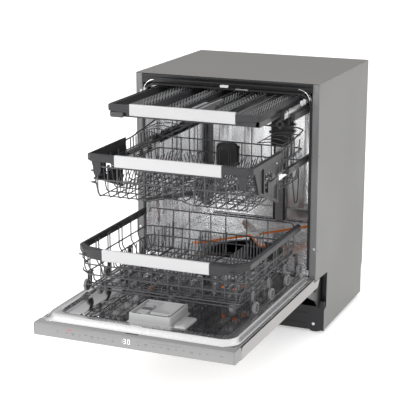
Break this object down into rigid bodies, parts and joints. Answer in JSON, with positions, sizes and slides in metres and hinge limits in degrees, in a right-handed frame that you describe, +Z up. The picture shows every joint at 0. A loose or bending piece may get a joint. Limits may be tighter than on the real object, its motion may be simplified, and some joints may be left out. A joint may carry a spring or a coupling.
{
  "type": "built in dishwasher",
  "caption": "Built-in dishwasher with a fold-down door, a cutlery tray and two wire racks on rails and wheels, spray arms, filter, pumps and dispenser.",
  "frame": {"origin": "on the floor, at the centre of the rectangle that the dishwasher covers with its door open", "axes": "+X to the right seen from the front, +Y from the front to the back, +Z up"},
  "size_m": [0.598, 1.192, 0.815],
  "materials": {
    "side_panels": "satin powder coat",
    "top_panel": "satin powder coat",
    "posts": "satin",
    "front_bar": "satin black",
    "striker": "zinc plated",
    "tub_steel": "bright stainless",
    "gasket": "matt",
    "base_plastic": "moulded",
    "feet": "moulded",
    "bracket_steel": "dark zinc",
    "spring_steel": "oiled",
    "sump_plastic": "moulded",
    "pump_body": "cast",
    "valve_plastic": "moulded",
    "duct_plastic": "moulded",
    "filter_mesh": "woven",
    "spray_arm": "moulded, bright top",
    "rail_steel": "bright",
    "door_paint": "satin",
    "liner_steel": "bright stainless",
    "strip": "metallic satin",
    "board": "printed board",
    "dispenser": "light grey moulded",
    "rinse_cap": "moulded",
    "wire": "nylon coated steel wire",
    "rack_plastic": "moulded",
    "wheel": "moulded",
    "handle_bar": "satin silver",
    "tray": "moulded"
  },
  "bodies": {
    "cabinet": {"right_side_panel": "side_panels", "left_side_panel": "side_panels", "top_panel": "top_panel", "front_posts": "posts", "top_front_bar": "front_bar", "door_striker": "striker", "tub_wrap": "tub_steel", "tub_back": "tub_steel", "tub_floor": "tub_steel", "door_gasket": "gasket", "base_pan": "base_plastic", "toe_plate": "base_plastic", "levelling_feet": "feet", "hinge_brackets": "bracket_steel", "door_springs": "spring_steel", "sump": "sump_plastic", "wash_pump": "pump_body", "drain_pump": "pump_body", "inlet_valve": "valve_plastic", "feed_duct": "duct_plastic", "filter_plate": "filter_mesh", "top_rails": "rail_steel", "middle_rails": "rail_steel"},
    "filter": {"filter_cylinder": "filter_mesh"},
    "lower_arm": {"lower_spray_arm": "spray_arm"},
    "ceiling_arm": {"ceiling_spray_arm": "duct_plastic"},
    "top_sliders": {"top_rail_sliders": "rail_steel"},
    "middle_sliders": {"middle_rail_sliders": "rail_steel"},
    "door": {"door_outer_panel": "door_paint", "door_liner": "liner_steel", "control_strip": "strip", "control_board": "board", "door_latch": "striker", "dispenser_body": "dispenser", "hinge_arms": "bracket_steel"},
    "lid": {"dispenser_lid": "dispenser"},
    "rinse_cap": {"rinse_aid_cap": "rinse_cap"},
    "lower_rack": {"lower_basket_floor": "wire", "lower_basket_walls": "wire", "lower_rim": "rack_plastic", "lower_handle_bar": "handle_bar", "lower_tines_fixed": "wire", "lower_wheel_carriers": "rack_plastic"},
    "tines_left": {"lower_tines_left": "wire"},
    "tines_right": {"lower_tines_right": "wire"},
    "wheels_1": {"lower_wheels_1": "wheel"},
    "wheels_2": {"lower_wheels_2": "wheel"},
    "wheels_3": {"lower_wheels_3": "wheel"},
    "wheels_4": {"lower_wheels_4": "wheel"},
    "middle_carriage": {"height_levers": "rack_plastic"},
    "middle_rack": {"middle_basket_floor": "wire", "middle_basket_walls": "wire", "middle_frame": "rack_plastic", "middle_handle_bar": "handle_bar"},
    "cup_left": {"cup_shelf_left": "wire"},
    "cup_right": {"cup_shelf_right": "wire"},
    "middle_arm": {"middle_spray_arm": "duct_plastic"},
    "top_rack": {"top_tray": "tray", "top_frame": "rack_plastic", "top_handle_bar": "handle_bar"}
  },
  "joints": [
    {"name": "door_hinge", "type": "hinge", "parent": "cabinet", "child": "door", "pos_m": [0, 0.037, 0.171], "axis": [-1, 0, 0], "range_deg": [0, 0.5]},
    {"name": "dispenser_lid_hinge", "type": "hinge", "parent": "door", "child": "lid", "pos_m": [0, -0.41, 0.2582], "axis": [-1, 0, 0], "range_deg": [0, 80]},
    {"name": "rinse_aid_cap_turn", "type": "hinge", "parent": "door", "child": "rinse_cap", "pos_m": [-0.016, -0.434, 0.246], "axis": [0, 0, 1], "range_deg": [0, 90]},
    {"name": "lower_rack_slide", "type": "slide", "parent": "cabinet", "child": "lower_rack", "axis": [0, 1, 0], "range_m": [0, 0.531]},
    {"name": "lower_wheels_1_spin", "type": "hinge", "parent": "lower_rack", "child": "wheels_1", "pos_m": [0, -0.347, 0.2556], "axis": [1, 0, 0], "range_deg": [-1800, 5]},
    {"name": "lower_wheels_2_spin", "type": "hinge", "parent": "lower_rack", "child": "wheels_2", "pos_m": [0, -0.221, 0.2556], "axis": [1, 0, 0], "range_deg": [-1800, 5]},
    {"name": "lower_wheels_3_spin", "type": "hinge", "parent": "lower_rack", "child": "wheels_3", "pos_m": [0, -0.084, 0.2556], "axis": [1, 0, 0], "range_deg": [-1800, 5]},
    {"name": "lower_wheels_4_spin", "type": "hinge", "parent": "lower_rack", "child": "wheels_4", "pos_m": [0, 0.026, 0.2556], "axis": [1, 0, 0], "range_deg": [-1800, 5]},
    {"name": "lower_tines_left_fold", "type": "hinge", "parent": "lower_rack", "child": "tines_left", "pos_m": [-0.15, 0.076, 0.282], "axis": [0, 1, 0], "range_deg": [0, 85]},
    {"name": "lower_tines_right_fold", "type": "hinge", "parent": "lower_rack", "child": "tines_right", "pos_m": [0.15, 0.076, 0.282], "axis": [0, -1, 0], "range_deg": [0, 85]},
    {"name": "middle_rack_slide", "type": "slide", "parent": "cabinet", "child": "middle_carriage", "axis": [0, 1, 0], "range_m": [0, 0.446]},
    {"name": "middle_rail_extend", "type": "slide", "parent": "cabinet", "child": "middle_sliders", "axis": [0, 1, 0], "range_m": [0, 0.223]},
    {"name": "middle_rack_height", "type": "slide", "parent": "middle_carriage", "child": "middle_rack", "axis": [0, 0, 1], "range_m": [-0.04, 0]},
    {"name": "cup_shelf_left_fold", "type": "hinge", "parent": "middle_rack", "child": "cup_left", "pos_m": [-0.234, 0.076, 0.655], "axis": [0, -1, 0], "range_deg": [0, 88]},
    {"name": "cup_shelf_right_fold", "type": "hinge", "parent": "middle_rack", "child": "cup_right", "pos_m": [0.234, 0.076, 0.655], "axis": [0, 1, 0], "range_deg": [0, 88]},
    {"name": "middle_spray_spin", "type": "hinge", "parent": "middle_rack", "child": "middle_arm", "pos_m": [0, -0.114, 0.498], "axis": [0, 0, 1], "continuous": true},
    {"name": "top_rack_slide", "type": "slide", "parent": "cabinet", "child": "top_rack", "axis": [0, 1, 0], "range_m": [0, 0.352]},
    {"name": "top_rail_extend", "type": "slide", "parent": "cabinet", "child": "top_sliders", "axis": [0, 1, 0], "range_m": [0, 0.176]},
    {"name": "lower_spray_spin", "type": "hinge", "parent": "cabinet", "child": "lower_arm", "pos_m": [0, 0.331, 0.255], "axis": [0, 0, 1], "continuous": true},
    {"name": "ceiling_spray_spin", "type": "hinge", "parent": "cabinet", "child": "ceiling_arm", "pos_m": [0, 0.331, 0.782], "axis": [0, 0, 1], "continuous": true},
    {"name": "filter_twist", "type": "hinge", "parent": "cabinet", "child": "filter", "pos_m": [0, 0.196, 0.2], "axis": [0, 0, 1], "range_deg": [0, 90]}
  ],
  "couplings": [
    {"joint": "lower_wheels_1_spin", "follows": "lower_rack_slide", "rad_per_m": -58.824},
    {"joint": "lower_wheels_2_spin", "follows": "lower_rack_slide", "rad_per_m": -58.824},
    {"joint": "lower_wheels_3_spin", "follows": "lower_rack_slide", "rad_per_m": -58.824},
    {"joint": "lower_wheels_4_spin", "follows": "lower_rack_slide", "rad_per_m": -58.824},
    {"joint": "middle_rail_extend", "follows": "middle_rack_slide", "ratio": 0.5},
    {"joint": "top_rail_extend", "follows": "top_rack_slide", "ratio": 0.5}
  ]
}
